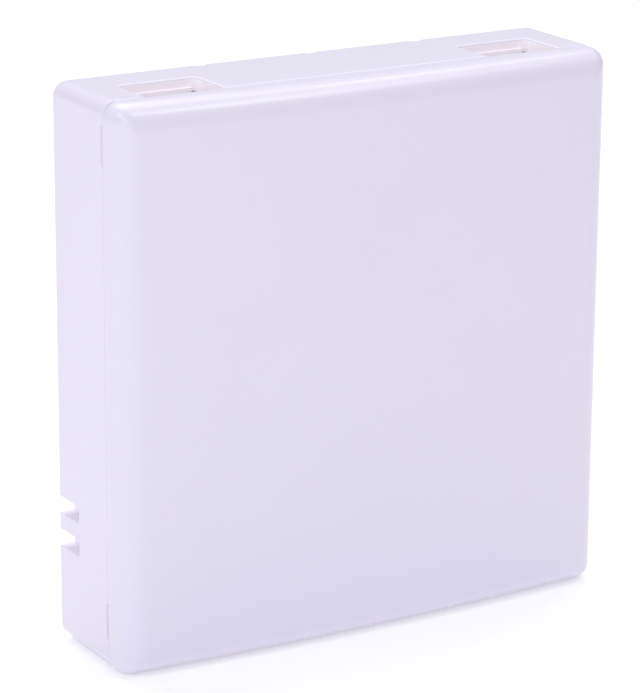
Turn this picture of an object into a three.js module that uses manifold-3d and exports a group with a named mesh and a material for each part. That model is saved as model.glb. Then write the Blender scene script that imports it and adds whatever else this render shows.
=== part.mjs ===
// A wall-mounted fibre termination box for two SC ports, in millimetres.
// +Z is up, the snap-on cover faces -Y and the wall side faces +Y.
// The origin is the centre of the box's footprint, on the surface that it stands on.
import * as THREE from "three";
import { mergeVertices } from "three/addons/utils/BufferGeometryUtils.js";
import Module from "manifold-3d";

const wasm = await Module();
wasm.setup();

// ---------- Driving dimensions ----------

const COVER_WIDTH = 100;
const COVER_HEIGHT = 101.15;
const BOX_DEPTH = 25.85;
const CROWN = 1.85; // how far the middle of the cover's face stands ahead of its sides
const COVER_SKIRT = 5.7; // depth of the cover's side walls, from the face's edge to the seam
const COVER_FILLET = 4.65;
const COVER_CORNER = 3.2;
const FACE_CORNER = 1.6; // least corner radius of the cover, round its face
const COVER_WALL = 1.5;
const COVER_PROUD = 0.25; // the cover stands this far outside the base at each side
const COVER_DROP = 0.5; // the cover is level with the base on top and hangs this far below it
const BASE_CORNER = 2.5;
const BASE_WALL = 2.45;
const BACK_WALL = 2.2;
const GAP = 0.3; // between pieces that touch
const SEAM_GAP = 0.2;

const FRONT_Y = -BOX_DEPTH / 2;
const BACK_Y = BOX_DEPTH / 2;
const SEAM_Y = FRONT_Y + CROWN + COVER_SKIRT;
const FLOOR_Y = BACK_Y - BACK_WALL; // the inner face of the wall side
const COVER_MID_Z = COVER_HEIGHT / 2;
const MID_Z = (COVER_HEIGHT + COVER_DROP) / 2; // the middle of the base
const BASE_HALF_WIDTH = COVER_WIDTH / 2 - COVER_PROUD;
const BASE_HALF_HEIGHT = (COVER_HEIGHT - COVER_DROP) / 2;
const INNER_HALF_WIDTH = BASE_HALF_WIDTH - BASE_WALL;
const INNER_HALF_HEIGHT = BASE_HALF_HEIGHT - BASE_WALL;
const TOP_Z = COVER_HEIGHT;

// Locating lip on the base's rim, inside the cover's skirt.
const LIP_HEIGHT = 1.6;
const LIP_THICKNESS = 0.65;

// Port windows, open towards the cover, and the SC adapters behind them.
const PORT_X = 34.2;
const PORT_WIDTH = 14.9;
const PORT_DEPTH = 10.1;
const SILL_DROP = 1.75; // a sill along each window's rear wall, from this far below the top
const SILL_HEIGHT = 1.45;
const SILL_REACH = 0.3; // how far the sill stands forward of the rear wall
const SILL_SHORT = 0.8; // the sill stops this far short of the window's right wall
const ADAPTER_Y = -0.3;
const ADAPTER_Z = 83.5; // the plane between the adapter's two halves
const ADAPTER_HALF_LENGTH = 13.5;
const ADAPTER_HALF_WIDTH = 6.4;
const ADAPTER_HALF_DEPTH = 4.65;
const FLANGE_HALF_WIDTH = 7.8;
const FLANGE_HALF_THICKNESS = 1;

// Cable entries in the side walls' wall-side edge.
const ENTRY_Z = [19.4, 25.5];
const ENTRY_HEIGHT = 3.1;
const ENTRY_DEPTH = 7.3;

// Pry slots in the base's rim, and the cover's snap tongues behind them.
const SLOT_Z = [9.1, 93.4];
const SLOT_LENGTH = 6.8;
const SLOT_WIDTH = 1;
const SLOT_DEPTH = 1.6;
const TONGUE_OUTER_X = 46.6;
const TONGUE_THICKNESS = 1.2;
const TONGUE_END_Y = -1.5;
const BARB_HEIGHT = 0.3; // how far a tongue's barb stands out towards the side wall
const CATCH_HEIGHT = 0.3; // how far the side wall's catch stands in
const CATCH_Y = [SEAM_Y + 1.1, SEAM_Y + 1.7];

// Shallow nicks in the rear top edge, evenly spaced.
const NICK_X = [-21.2, 1, 23.2];
const NICK_WIDTH = 2.2;
const NICK_DEPTH = 0.4;
const NICK_RUN = 0.8; // how far a nick reaches in from the wall side

// Splice tray.
const TRAY_FRONT_Y = 2.2;
const TRAY_THICKNESS = 1.5;
const TRAY_BACK_Y = TRAY_FRONT_Y + TRAY_THICKNESS;
const TRAY_RIM_Y = -3.2;
const TRAY_RIM = 1.2;
const TRAY_LOW_HALF_WIDTH = 44;
const TRAY_HIGH_HALF_WIDTH = 23.5;
const TRAY_BOTTOM_Z = 5;
const TRAY_STEP_Z = 38;
const TRAY_TOP_Z = 92;
const TRAY_SCREW_Z = [19, 87];
const SPOOL_LOW_Z = 27;
const SPOOL_HIGH_Z = 62;
const SPOOL_RADIUS = 15.2;
const SPLICE_X = 3;
const SPLICE_RADIUS = 1.3;
const COMB_Z = [36, 58];

// Cable clamps, behind the tray.
const CLAMP_X = 36;
const CLAMP_SCREW_Z = [13.4, 30.9];
const CLAMP_FRONT_Y = 5.45;
const CLAMP_THICKNESS = 1.8;

// Wall fixings at 60 mm centres, and the rear cable entry.
const FIXING_X = 30;
const FIXING_RADIUS = 2.3;
const FIXING_SLOT = 8;
const REAR_ENTRY_WIDTH = 22;
const REAR_ENTRY_HEIGHT = 12;
const REAR_ENTRY_CORNER = 3;

const SCREW_HEAD_RADIUS = 2.3;
const SCREW_HEAD_HEIGHT = 1.4;
const SCREW_RADIUS = 0.95;
const TRAY_BOSS_RADIUS = 3;
const CLAMP_BOSS_RADIUS = 2.4;
const PILOT_RADIUS = 1.25;
const FIBRE_RADIUS = 0.45;

const SIDES = { left: -1, right: 1 };

// The stretch between two distances from the middle plane, on one side, lower value first.
const across = (side, from, to) => [side * from, side * to].sort((a, b) => a - b);

// ---------- Materials ----------

const plastic = (color, roughness) => new THREE.MeshStandardMaterial({ color, roughness, metalness: 0 });
const metal = (color, roughness) => new THREE.MeshStandardMaterial({ color, roughness, metalness: 1 });
const MATERIALS = {
  shell: plastic(0xe9e6f2, 0.35),
  tray: plastic(0xf2f1f0, 0.45),
  adapter: plastic(0x2f9a57, 0.4),
  insert: plastic(0xe8e4d8, 0.5),
  ceramic: plastic(0xf6f4ee, 0.15),
  boot: plastic(0x2f9a57, 0.6),
  fibre: plastic(0xf0eedf, 0.5),
  sleeve: plastic(0xcfe0ea, 0.2),
  steel: metal(0xb8bbc0, 0.3),
};

// ---------- Solids ----------

// A closed three.js geometry as a solid that can be joined and cut.
function solid(geometry) {
  const bare = new THREE.BufferGeometry().setAttribute("position", geometry.getAttribute("position").clone());
  if (geometry.index) bare.setIndex(geometry.index.clone());
  const merged = mergeVertices(bare, 1e-4);
  return new wasm.Manifold(
    new wasm.Mesh({
      numProp: 3,
      vertProperties: merged.attributes.position.array,
      triVerts: new Uint32Array(merged.index.array),
    }),
  );
}

// A solid as a named three.js mesh.
function piece(name, body, material) {
  const { vertProperties, triVerts } = body.getMesh();
  const geometry = new THREE.BufferGeometry();
  geometry.setAttribute("position", new THREE.BufferAttribute(vertProperties, 3));
  geometry.setIndex(new THREE.BufferAttribute(triVerts, 1));
  geometry.computeVertexNormals();
  const mesh = new THREE.Mesh(geometry, material);
  mesh.name = name;
  return mesh;
}

const join = (...bodies) => bodies.reduce((a, b) => a.add(b));
const cut = (body, ...tools) => tools.reduce((a, b) => a.subtract(b), body);

function block(x0, x1, y0, y1, z0, z1) {
  const geometry = new THREE.BoxGeometry(x1 - x0, y1 - y0, z1 - z0);
  return solid(geometry.translate((x0 + x1) / 2, (y0 + y1) / 2, (z0 + z1) / 2));
}

// A cylinder between two values along x, y or z, centred on the other two coordinates in their order.
function rod(axis, radius, from, to, [a, b], segments = 16) {
  const geometry = new THREE.CylinderGeometry(radius, radius, to - from, segments);
  const middle = (from + to) / 2;
  if (axis === "x") geometry.rotateZ(Math.PI / 2).translate(middle, a, b);
  if (axis === "y") geometry.translate(a, middle, b);
  if (axis === "z") geometry.rotateX(Math.PI / 2).translate(a, b, middle);
  return solid(geometry);
}

// An outline in x and z, extruded from y0 to y1.
function plate(shape, y0, y1, curveSegments = 4) {
  const geometry = new THREE.ExtrudeGeometry(shape, { depth: y1 - y0, bevelEnabled: false, curveSegments });
  return solid(geometry.rotateX(Math.PI / 2).translate(0, y1, 0));
}

// A closed outline through the points, each corner rounded by the radius.
function roundedOutline(points, radius) {
  const shape = new THREE.Shape();
  const corners = points.map(([x, z]) => new THREE.Vector2(x, z));
  corners.forEach((corner, i) => {
    const before = corners.at(i - 1).clone().sub(corner).setLength(radius).add(corner);
    const after = corners[(i + 1) % corners.length].clone().sub(corner).setLength(radius).add(corner);
    if (i === 0) shape.moveTo(before.x, before.y);
    else shape.lineTo(before.x, before.y);
    shape.quadraticCurveTo(corner.x, corner.y, after.x, after.y);
  });
  shape.closePath();
  return shape;
}

// A rectangle with true round corners, centred on x and z.
function roundedRectangle(halfWidth, halfHeight, radius, x = 0, z = MID_Z) {
  const shape = new THREE.Shape();
  shape.moveTo(x - halfWidth + radius, z - halfHeight);
  shape.absarc(x + halfWidth - radius, z - halfHeight + radius, radius, -Math.PI / 2, 0);
  shape.absarc(x + halfWidth - radius, z + halfHeight - radius, radius, 0, Math.PI / 2);
  shape.absarc(x - halfWidth + radius, z + halfHeight - radius, radius, Math.PI / 2, Math.PI);
  shape.absarc(x - halfWidth + radius, z - halfHeight + radius, radius, Math.PI, Math.PI * 1.5);
  return shape;
}

// ---------- Front cover ----------

const CORNER_STEPS = 4;
const EDGE_STEPS = 10;

// How far the crowned face has fallen back at x from its front-most line.
const crownDrop = (x) => CROWN * (x / (COVER_WIDTH / 2)) ** 2;

// Half of a rounded rectangle's outline, from its left side over the top to its right side.
function upperOutline(halfWidth, halfHeight, radius) {
  const straight = halfWidth - radius;
  const points = [];
  for (let i = 0; i <= CORNER_STEPS; i++) {
    const angle = Math.PI - (i / CORNER_STEPS) * (Math.PI / 2);
    points.push([-straight + radius * Math.cos(angle), halfHeight - radius + radius * Math.sin(angle)]);
  }
  for (let i = 1; i < EDGE_STEPS; i++) points.push([-straight + (2 * straight * i) / EDGE_STEPS, halfHeight]);
  const mirrored = points.slice(0, CORNER_STEPS + 1).reverse().map(([x, z]) => [-x, z]);
  return [...points, ...mirrored];
}

// One ring of the cover's surface. crowned is 1 where the ring follows the crown and 0 where it is flat.
function coverRing(inset, radius, y, crowned) {
  const upper = upperOutline(COVER_WIDTH / 2 - inset, COVER_HEIGHT / 2 - inset, radius);
  const lower = [...upper].reverse().map(([x, z]) => [x, -z]);
  return [...upper, ...lower].map(([x, z]) => [x, y + crowned * crownDrop(x), z + COVER_MID_Z]);
}

// A closed skin over rings of equal size. Both end rings are closed by strips across their short way.
function loft(rings) {
  const size = rings[0].length;
  const index = [];
  for (let r = 0; r + 1 < rings.length; r++) {
    for (let i = 0; i < size; i++) {
      const [a, b] = [r * size + i, r * size + ((i + 1) % size)];
      index.push(a, b, a + size, b, b + size, a + size);
    }
  }
  const last = (rings.length - 1) * size;
  for (let i = 0; i + 1 < size / 2; i++) {
    const [a, b, c, d] = [i, i + 1, size - 2 - i, size - 1 - i];
    index.push(a, c, b, a, d, c);
    index.push(last + a, last + b, last + c, last + a, last + c, last + d);
  }
  const geometry = new THREE.BufferGeometry();
  geometry.setAttribute("position", new THREE.Float32BufferAttribute(rings.flat(2), 3));
  geometry.setIndex(index);
  return geometry;
}

function coverShell() {
  const filletSteps = 5;
  const innerSteps = 3;
  const innerFillet = COVER_FILLET - COVER_WALL;
  const rings = [];
  for (let i = 0; i <= filletSteps; i++) {
    const angle = (1 - i / filletSteps) * (Math.PI / 2);
    const inset = COVER_FILLET * (1 - Math.cos(angle));
    const y = FRONT_Y + COVER_FILLET * (1 - Math.sin(angle));
    rings.push(coverRing(inset, Math.max(COVER_CORNER - inset, FACE_CORNER), y, 1));
  }
  rings.push(coverRing(0, COVER_CORNER, SEAM_Y, 0));
  rings.push(coverRing(COVER_WALL, Math.max(COVER_CORNER - COVER_WALL, FACE_CORNER), SEAM_Y, 0));
  for (let i = 0; i <= innerSteps; i++) {
    const angle = (i / innerSteps) * (Math.PI / 2);
    const inset = COVER_WALL + innerFillet * (1 - Math.cos(angle));
    const y = FRONT_Y + COVER_WALL + innerFillet * (1 - Math.sin(angle));
    rings.push(coverRing(inset, Math.max(COVER_CORNER - inset, FACE_CORNER), y, 1));
  }
  return solid(loft(rings));
}

function frontCover() {
  const ribRootY = FRONT_Y + 1.8; // inside the face's thickness
  const ribEndY = ADAPTER_Y - ADAPTER_HALF_DEPTH - GAP;
  const ribZ = [ADAPTER_Z - 0.9, ADAPTER_Z + 0.9];
  const tongueRootY = FRONT_Y + CROWN + 0.8;
  const barbY = [TONGUE_END_Y - 1.9, TONGUE_END_Y - 1.2];
  const tongueX = [TONGUE_OUTER_X - TONGUE_THICKNESS, TONGUE_OUTER_X];
  const barbX = [TONGUE_OUTER_X - TONGUE_THICKNESS / 2, TONGUE_OUTER_X + BARB_HEIGHT];
  const parts = [coverShell()];
  for (const side of Object.values(SIDES)) {
    const portX = side * PORT_X;
    parts.push(block(portX - 4, portX + 4, ribRootY, ribEndY, ...ribZ));
    for (const z of SLOT_Z) {
      const height = [z - SLOT_LENGTH / 2, z + SLOT_LENGTH / 2];
      parts.push(block(...across(side, ...tongueX), tongueRootY, TONGUE_END_Y, ...height));
      parts.push(block(...across(side, ...barbX), ...barbY, ...height));
    }
  }
  return piece("front_cover", join(...parts), MATERIALS.shell);
}

// ---------- Base ----------

function baseTub() {
  const lipHalfWidth = INNER_HALF_WIDTH + LIP_THICKNESS;
  const lipHalfHeight = INNER_HALF_HEIGHT + LIP_THICKNESS;
  const innerCorner = BASE_CORNER - 0.2;
  const lipFront = SEAM_Y - LIP_HEIGHT;
  const outline = roundedRectangle(BASE_HALF_WIDTH, BASE_HALF_HEIGHT, BASE_CORNER);
  const lipOutline = roundedRectangle(lipHalfWidth, lipHalfHeight, innerCorner + LIP_THICKNESS);
  const innerOutline = roundedRectangle(INNER_HALF_WIDTH, INNER_HALF_HEIGHT, innerCorner);
  const outer = plate(outline, SEAM_Y + SEAM_GAP, BACK_Y);
  const lip = plate(lipOutline, lipFront, SEAM_Y + 1);
  const cavity = plate(innerOutline, lipFront - 1, FLOOR_Y);
  return cut(join(outer, lip), cavity);
}

// The cuts in the base's outside: port windows, cable entries, pry slots, nicks and wall-side openings.
function baseCuts() {
  const cuts = [];
  for (const side of Object.values(SIDES)) {
    const portX = side * PORT_X;
    const window = [portX - PORT_WIDTH / 2, portX + PORT_WIDTH / 2, SEAM_Y - 3, SEAM_Y + PORT_DEPTH];
    cuts.push(block(...window, TOP_Z - BASE_WALL - 2, TOP_Z + 1));
    for (const z of ENTRY_Z) {
      const width = across(side, INNER_HALF_WIDTH - 0.35, BASE_HALF_WIDTH + 1);
      const height = [z - ENTRY_HEIGHT / 2, z + ENTRY_HEIGHT / 2];
      cuts.push(block(...width, BACK_Y - ENTRY_DEPTH, BACK_Y + 1, ...height));
    }
    for (const z of SLOT_Z) {
      const width = across(side, BASE_HALF_WIDTH - SLOT_DEPTH, BASE_HALF_WIDTH + 1);
      const height = [z - SLOT_LENGTH / 2, z + SLOT_LENGTH / 2];
      cuts.push(block(...width, SEAM_Y - 0.01, SEAM_Y + SLOT_WIDTH, ...height));
    }
    const fixing = roundedRectangle(FIXING_SLOT / 2, FIXING_RADIUS, FIXING_RADIUS - 0.01, side * FIXING_X);
    cuts.push(plate(fixing, FLOOR_Y - 1, BACK_Y + 1));
  }
  for (const x of NICK_X) {
    const width = [x - NICK_WIDTH / 2, x + NICK_WIDTH / 2];
    cuts.push(block(...width, BACK_Y - NICK_RUN, BACK_Y + 1, TOP_Z - NICK_DEPTH, TOP_Z + 1));
  }
  const rearEntry = roundedRectangle(REAR_ENTRY_WIDTH / 2, REAR_ENTRY_HEIGHT / 2, REAR_ENTRY_CORNER);
  cuts.push(plate(rearEntry, FLOOR_Y - 1, BACK_Y + 1));
  return cuts;
}

// The cradle that holds one adapter by its flange: four cheeks and two saddles.
function cradle(portX) {
  const cheekInner = ADAPTER_HALF_WIDTH + GAP;
  const cheekThickness = 1.5;
  const cheekLength = 4.2;
  const slot = FLANGE_HALF_THICKNESS + GAP;
  const parts = [];
  for (const side of Object.values(SIDES)) {
    const width = across(side, cheekInner, cheekInner + cheekThickness).map((x) => portX + x);
    for (const end of [-1, 1]) {
      const height = across(end, slot, slot + cheekLength).map((z) => ADAPTER_Z + z);
      parts.push(block(...width, ADAPTER_Y - 3.6, FLOOR_Y + 0.5, ...height));
    }
  }
  const saddleY = ADAPTER_Y + ADAPTER_HALF_DEPTH + GAP;
  for (const z of [ADAPTER_Z - 10.75, ADAPTER_Z + 10.25]) {
    parts.push(block(portX - 6, portX + 6, saddleY, FLOOR_Y + 0.5, z - 0.75, z + 0.75));
  }
  return parts;
}

// A screw boss standing on the wall side, with its pilot hole.
function boss(x, z, frontY, radius) {
  const post = rod("y", radius, frontY, FLOOR_Y + 0.5, [x, z]);
  return cut(post, rod("y", PILOT_RADIUS, frontY - 1, FLOOR_Y - 0.2, [x, z], 12));
}

function baseShell() {
  const fittings = [];
  for (const side of Object.values(SIDES)) {
    fittings.push(...cradle(side * PORT_X));
    const sillX = [side * PORT_X - PORT_WIDTH / 2 - 0.5, side * PORT_X + PORT_WIDTH / 2 - SILL_SHORT];
    const sillY = [SEAM_Y + PORT_DEPTH - SILL_REACH, FLOOR_Y + 0.5];
    fittings.push(block(...sillX, ...sillY, TOP_Z - SILL_DROP - SILL_HEIGHT, TOP_Z - SILL_DROP));
    for (const z of CLAMP_SCREW_Z) {
      fittings.push(boss(side * CLAMP_X, z, CLAMP_FRONT_Y + CLAMP_THICKNESS + 0.15, CLAMP_BOSS_RADIUS));
    }
    for (const z of SLOT_Z) {
      const width = across(side, INNER_HALF_WIDTH - CATCH_HEIGHT, INNER_HALF_WIDTH + 0.5);
      fittings.push(block(...width, ...CATCH_Y, z - SLOT_LENGTH / 2, z + SLOT_LENGTH / 2));
    }
  }
  for (const z of TRAY_SCREW_Z) fittings.push(boss(0, z, TRAY_BACK_Y + 0.1, TRAY_BOSS_RADIUS));
  return piece("base_shell", join(cut(baseTub(), ...baseCuts()), ...fittings), MATERIALS.shell);
}

// ---------- Splice tray ----------

function trayOutline(inset) {
  const [low, high] = [TRAY_LOW_HALF_WIDTH - inset, TRAY_HIGH_HALF_WIDTH - inset];
  const [bottom, step, top] = [TRAY_BOTTOM_Z + inset, TRAY_STEP_Z - inset, TRAY_TOP_Z - inset];
  const right = [[low, bottom], [low, step], [high, step], [high, top]];
  const left = [...right].reverse().map(([x, z]) => [-x, z]);
  return roundedOutline([...right, ...left], 4 - inset);
}

// A curved guide wall that the fibre is wound round, centred over the tray's middle.
function spoolWall(z, fromDegrees, toDegrees) {
  const [from, to] = [fromDegrees, toDegrees].map(THREE.MathUtils.degToRad);
  const shape = new THREE.Shape();
  shape.absarc(0, z, SPOOL_RADIUS, from, to, false);
  shape.absarc(0, z, SPOOL_RADIUS - TRAY_RIM, to, from, true);
  shape.closePath();
  return plate(shape, TRAY_RIM_Y + 0.8, TRAY_FRONT_Y + 0.5, 10);
}

// A rack across both splice sleeves, open towards the cover.
function comb(z) {
  const rack = block(-6.2, 6.2, ADAPTER_Y - 2.2, TRAY_FRONT_Y + 0.5, z - 2, z + 2);
  const grooves = [-SPLICE_X, SPLICE_X].flatMap((x) => [
    rod("z", SPLICE_RADIUS + 0.2, z - 3, z + 3, [x, ADAPTER_Y], 12),
    block(x - 1.2, x + 1.2, ADAPTER_Y - 4, ADAPTER_Y, z - 3, z + 3),
  ]);
  return cut(rack, ...grooves);
}

function spliceTray() {
  const floor = plate(trayOutline(0), TRAY_FRONT_Y, TRAY_BACK_Y);
  const wall = cut(
    plate(trayOutline(0), TRAY_RIM_Y, TRAY_FRONT_Y + 0.5),
    plate(trayOutline(TRAY_RIM), TRAY_RIM_Y - 1, TRAY_FRONT_Y + 1),
  );
  const mouths = Object.values(SIDES).map((side) => {
    const width = [side * PORT_X - 3, side * PORT_X + 3];
    return block(...width, TRAY_RIM_Y - 1, TRAY_FRONT_Y, TRAY_STEP_Z - 3, TRAY_STEP_Z + 1);
  });
  const tab = (x0, x1, z0, z1) => block(x0, x1, TRAY_RIM_Y, TRAY_RIM_Y + 0.9, z0, z1);
  const tabs = [
    tab(-TRAY_HIGH_HALF_WIDTH + 0.6, -16.5, 42, 47),
    tab(16.5, TRAY_HIGH_HALF_WIDTH - 0.6, 42, 47),
    tab(-2.5, 2.5, TRAY_BOTTOM_Z + 0.6, 11.5),
    tab(-15, -10, 83, TRAY_TOP_Z - 0.6),
    tab(10, 15, 83, TRAY_TOP_Z - 0.6),
  ];
  const body = join(
    floor,
    cut(wall, ...mouths),
    spoolWall(SPOOL_HIGH_Z, 35, 145),
    spoolWall(SPOOL_LOW_Z, 215, 325),
    ...COMB_Z.map(comb),
    ...tabs,
  );
  const holes = TRAY_SCREW_Z.map((z) => rod("y", 1.5, TRAY_FRONT_Y - 1, TRAY_BACK_Y + 1, [0, z], 12));
  return piece("splice_tray", cut(body, ...holes), MATERIALS.tray);
}

function spliceSleeves() {
  return Object.entries(SIDES).map(([name, side]) => {
    const sleeve = rod("z", SPLICE_RADIUS, SPOOL_LOW_Z, SPOOL_HIGH_Z + 5, [side * SPLICE_X, ADAPTER_Y], 12);
    return piece(`splice_sleeve_${name}`, sleeve, MATERIALS.sleeve);
  });
}

// ---------- Screws and cable clamps ----------

// A cross-recessed pan-head screw that points along +Y, its head's underside at the origin.
function screw(name, length) {
  const head = rod("y", SCREW_HEAD_RADIUS, -SCREW_HEAD_HEIGHT, 0, [0, 0]);
  const shank = rod("y", SCREW_RADIUS, -0.5, length, [0, 0], 10);
  const bottom = 0.8 - SCREW_HEAD_HEIGHT;
  const slots = [
    block(-1.3, 1.3, -3, bottom, -0.3, 0.3),
    block(-0.3, 0.3, -3, bottom, -1.3, 1.3),
  ];
  return piece(name, cut(join(head, shank), ...slots), MATERIALS.steel);
}

function trayScrews() {
  return ["lower", "upper"].map((name, i) => {
    const mesh = screw(`tray_screw_${name}`, 6.5);
    mesh.position.set(0, TRAY_FRONT_Y - 0.05, TRAY_SCREW_Z[i]);
    return mesh;
  });
}

function cableClamp(name, side) {
  const group = new THREE.Group();
  group.position.set(side * CLAMP_X, 0, 0);
  const margin = 2.6;
  const [low, high] = CLAMP_SCREW_Z;
  const middle = (low + high) / 2;
  const outline = roundedRectangle(2.6, (high - low) / 2 + margin, 2, 0, middle);
  const holes = CLAMP_SCREW_Z.map((z) => rod("y", 1.3, 0, FLOOR_Y, [0, z], 12));
  const bar = plate(outline, CLAMP_FRONT_Y, CLAMP_FRONT_Y + CLAMP_THICKNESS);
  group.add(piece(`cable_clamp_${name}`, cut(bar, ...holes), MATERIALS.tray));
  ["lower", "upper"].forEach((level, i) => {
    const mesh = screw(`clamp_screw_${name}_${level}`, 4.9);
    mesh.position.set(0, CLAMP_FRONT_Y - 0.05, CLAMP_SCREW_Z[i]);
    group.add(mesh);
  });
  return group;
}

// ---------- SC adapter, around its own middle, with its outer mouth towards +Z ----------

const CAVITY_HALF_WIDTH = 4.7;
const CAVITY_HALF_DEPTH = 3.8;
const BORE_RADIUS = 1.95;
const FLAP_Z = 12.6;
const FLAP_HINGE_Y = 3.4;
const FLAP_THICKNESS = 0.4;
const FLAP_PIN_RADIUS = 0.3;
const FLAP_SHOULDER = 3.9; // past this far from its pivot, the leaf is narrow
const FLAP_NARROW_HALF_WIDTH = 2.8; // where it swings between the latch arms

function adapterHalf() {
  const [w, d, end] = [ADAPTER_HALF_WIDTH, ADAPTER_HALF_DEPTH, ADAPTER_HALF_LENGTH];
  const body = block(-w, w, -d, d, GAP / 2, end);
  const flange = block(-FLANGE_HALF_WIDTH, FLANGE_HALF_WIDTH, -d, d, GAP / 2, FLANGE_HALF_THICKNESS);
  const [cw, cd] = [CAVITY_HALF_WIDTH, CAVITY_HALF_DEPTH];
  const cavity = block(-cw, cw, -cd, cd, 1.2, end + 1);
  const keyway = block(-1.6, 1.6, -d - 1, 0, 8.6, end + 1);
  const bore = rod("z", BORE_RADIUS, -1, 2, [0, 0]);
  return cut(join(body, flange), cavity, keyway, bore);
}

// The insert that carries the alignment sleeve and the two latch arms that grip a plug.
function latchInsert() {
  const seat = block(-4.5, 4.5, -3.6, 3.6, 1.4, 2.4);
  const tube = rod("z", 2.3, 2.2, 5.4, [0, 0]);
  const arms = [-1, 1].flatMap((side) => [
    block(...across(side, 3.55, 4.25), -1.6, 1.6, 2.2, 8.6),
    block(...across(side, 3.15, 3.75), -1.6, 1.6, 7.6, 8.6),
  ]);
  return cut(join(seat, tube, ...arms), rod("z", BORE_RADIUS, 0, 8, [0, 0]));
}

function alignmentSleeve() {
  const ring = cut(rod("z", 1.7, -5.6, 5.6, [0, 0], 20), rod("z", 1.4, -6, 6, [0, 0], 20));
  return cut(ring, block(-0.2, 0.2, 0, 3, -6, 6));
}

// The shutter's leaf and pivot pin, around the pivot, hanging open towards -Z when it turns.
function shutter(name) {
  const reach = FLAP_HINGE_Y + CAVITY_HALF_DEPTH - GAP;
  const wide = CAVITY_HALF_WIDTH - GAP;
  const narrow = FLAP_NARROW_HALF_WIDTH;
  const half = FLAP_THICKNESS / 2;
  const leaf = join(
    block(-wide, wide, -FLAP_SHOULDER, 0, -half, half),
    block(-narrow, narrow, -reach, 0, -half, half),
  );
  const pin = rod("x", FLAP_PIN_RADIUS, -CAVITY_HALF_WIDTH - 0.4, CAVITY_HALF_WIDTH + 0.4, [0, 0], 10);
  const mesh = piece(name, join(leaf, pin), MATERIALS.insert);
  mesh.position.set(0, FLAP_HINGE_Y, FLAP_Z);
  return mesh;
}

function adapterClip() {
  const [w, d] = [ADAPTER_HALF_WIDTH, ADAPTER_HALF_DEPTH];
  const outside = block(-w - 0.5, w + 0.5, -d - 0.45, 2, -12, -6);
  const inside = block(-w - 0.15, w + 0.15, -d - 0.1, 3, -13, -5);
  return cut(outside, inside);
}

// ---------- SC plug, mated to the adapter's inner side and pointing towards +Z ----------

const GRIP_FRONT = 8.9;
const GRIP_END = 26.5;
const BOOT_START = 24.3;
const BOOT_END = 43;
const STEM_RADIUS = 1.4;
const STEM_END = 29;

function plugBody() {
  const bodyBlock = block(-3.3, 3.3, -2.9, 2.9, -24, -3);
  const stem = rod("z", STEM_RADIUS, -STEM_END, -23, [0, 0]);
  const recesses = [block(-3.6, -2.9, -1.8, 1.8, -9, -7.3), block(2.9, 3.6, -1.8, 1.8, -9, -7.3)];
  const bores = [rod("z", 2.5, -7, 0, [0, 0]), rod("z", 1.45, -14.3, 0, [0, 0])];
  return cut(join(bodyBlock, stem), ...bores, ...recesses);
}

function plugGrip() {
  const shell = block(-4.5, 4.5, -3.7, 3.7, -GRIP_END, -GRIP_FRONT);
  const key = block(-1.1, 1.1, -4.4, -3.5, -21, -GRIP_FRONT - 0.6);
  const ridges = [-1, 1].flatMap((side) =>
    [0, 1, 2, 3].map((i) => block(...across(side, 4.3, 5), -3.2, 3.2, -25.4 + i * 2.2, -24.3 + i * 2.2)),
  );
  const hollow = block(-3.55, 3.55, -3.15, 3.15, -GRIP_END + 1.2, 0);
  return cut(join(shell, key, ...ridges), hollow, rod("z", 3.1, -GRIP_END - 1, -GRIP_END + 2, [0, 0]));
}

// A tapered boot with three grooves, pushed over the plug body's stem and hollow for the fibre.
function plugBoot() {
  const bore = STEM_RADIUS + GAP;
  const profile = [[0.6, STEM_END + GAP], [bore, STEM_END + GAP], [bore, BOOT_START]];
  profile.push([2.8, BOOT_START], [2.8, GRIP_END + 3]);
  for (let i = 0; i < 3; i++) {
    const groove = GRIP_END + 5 + i * 3.2;
    const radius = 2.3 - i * 0.35;
    profile.push([radius, groove - 1], [radius - 0.4, groove]);
    profile.push([radius - 0.4, groove + 0.8], [radius, groove + 1]);
  }
  profile.push([1.1, BOOT_END], [0.6, BOOT_END]);
  const points = [...profile, profile[0]].map(([r, s]) => new THREE.Vector2(r, s));
  const geometry = new THREE.LatheGeometry(points, 14);
  return solid(geometry.rotateX(-Math.PI / 2));
}

function port(name, side) {
  const group = new THREE.Group();
  group.position.set(side * PORT_X, ADAPTER_Y, ADAPTER_Z);
  const half = adapterHalf();
  const insert = latchInsert();
  const pinHoles = rod("x", FLAP_PIN_RADIUS + 0.2, -5.3, 5.3, [FLAP_HINGE_Y, FLAP_Z], 10);
  const turned = (body) => body.rotate([0, 180, 0]);
  group.add(
    piece(`adapter_outer_half_${name}`, cut(half, pinHoles), MATERIALS.adapter),
    piece(`adapter_inner_half_${name}`, turned(half), MATERIALS.adapter),
    piece(`adapter_outer_latch_${name}`, insert, MATERIALS.insert),
    piece(`adapter_inner_latch_${name}`, turned(insert), MATERIALS.insert),
    piece(`alignment_sleeve_${name}`, alignmentSleeve(), MATERIALS.ceramic),
    piece(`adapter_clip_${name}`, adapterClip(), MATERIALS.steel),
    shutter(`adapter_shutter_${name}`),
    piece(`plug_ferrule_${name}`, rod("z", 1.25, -14, -0.2, [0, 0], 20), MATERIALS.ceramic),
    piece(`plug_body_${name}`, plugBody(), MATERIALS.insert),
    piece(`plug_grip_${name}`, plugGrip(), MATERIALS.adapter),
    piece(`plug_boot_${name}`, plugBoot(), MATERIALS.boot),
  );
  return group;
}

// ---------- Pigtails ----------

// A smooth line through points, stepped evenly from point to point and not by length.
class Route extends THREE.CatmullRomCurve3 {
  getPointAt(t, target) {
    return this.getPoint(t, target);
  }
  getTangentAt(t, target) {
    return this.getTangent(t, target);
  }
}

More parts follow.
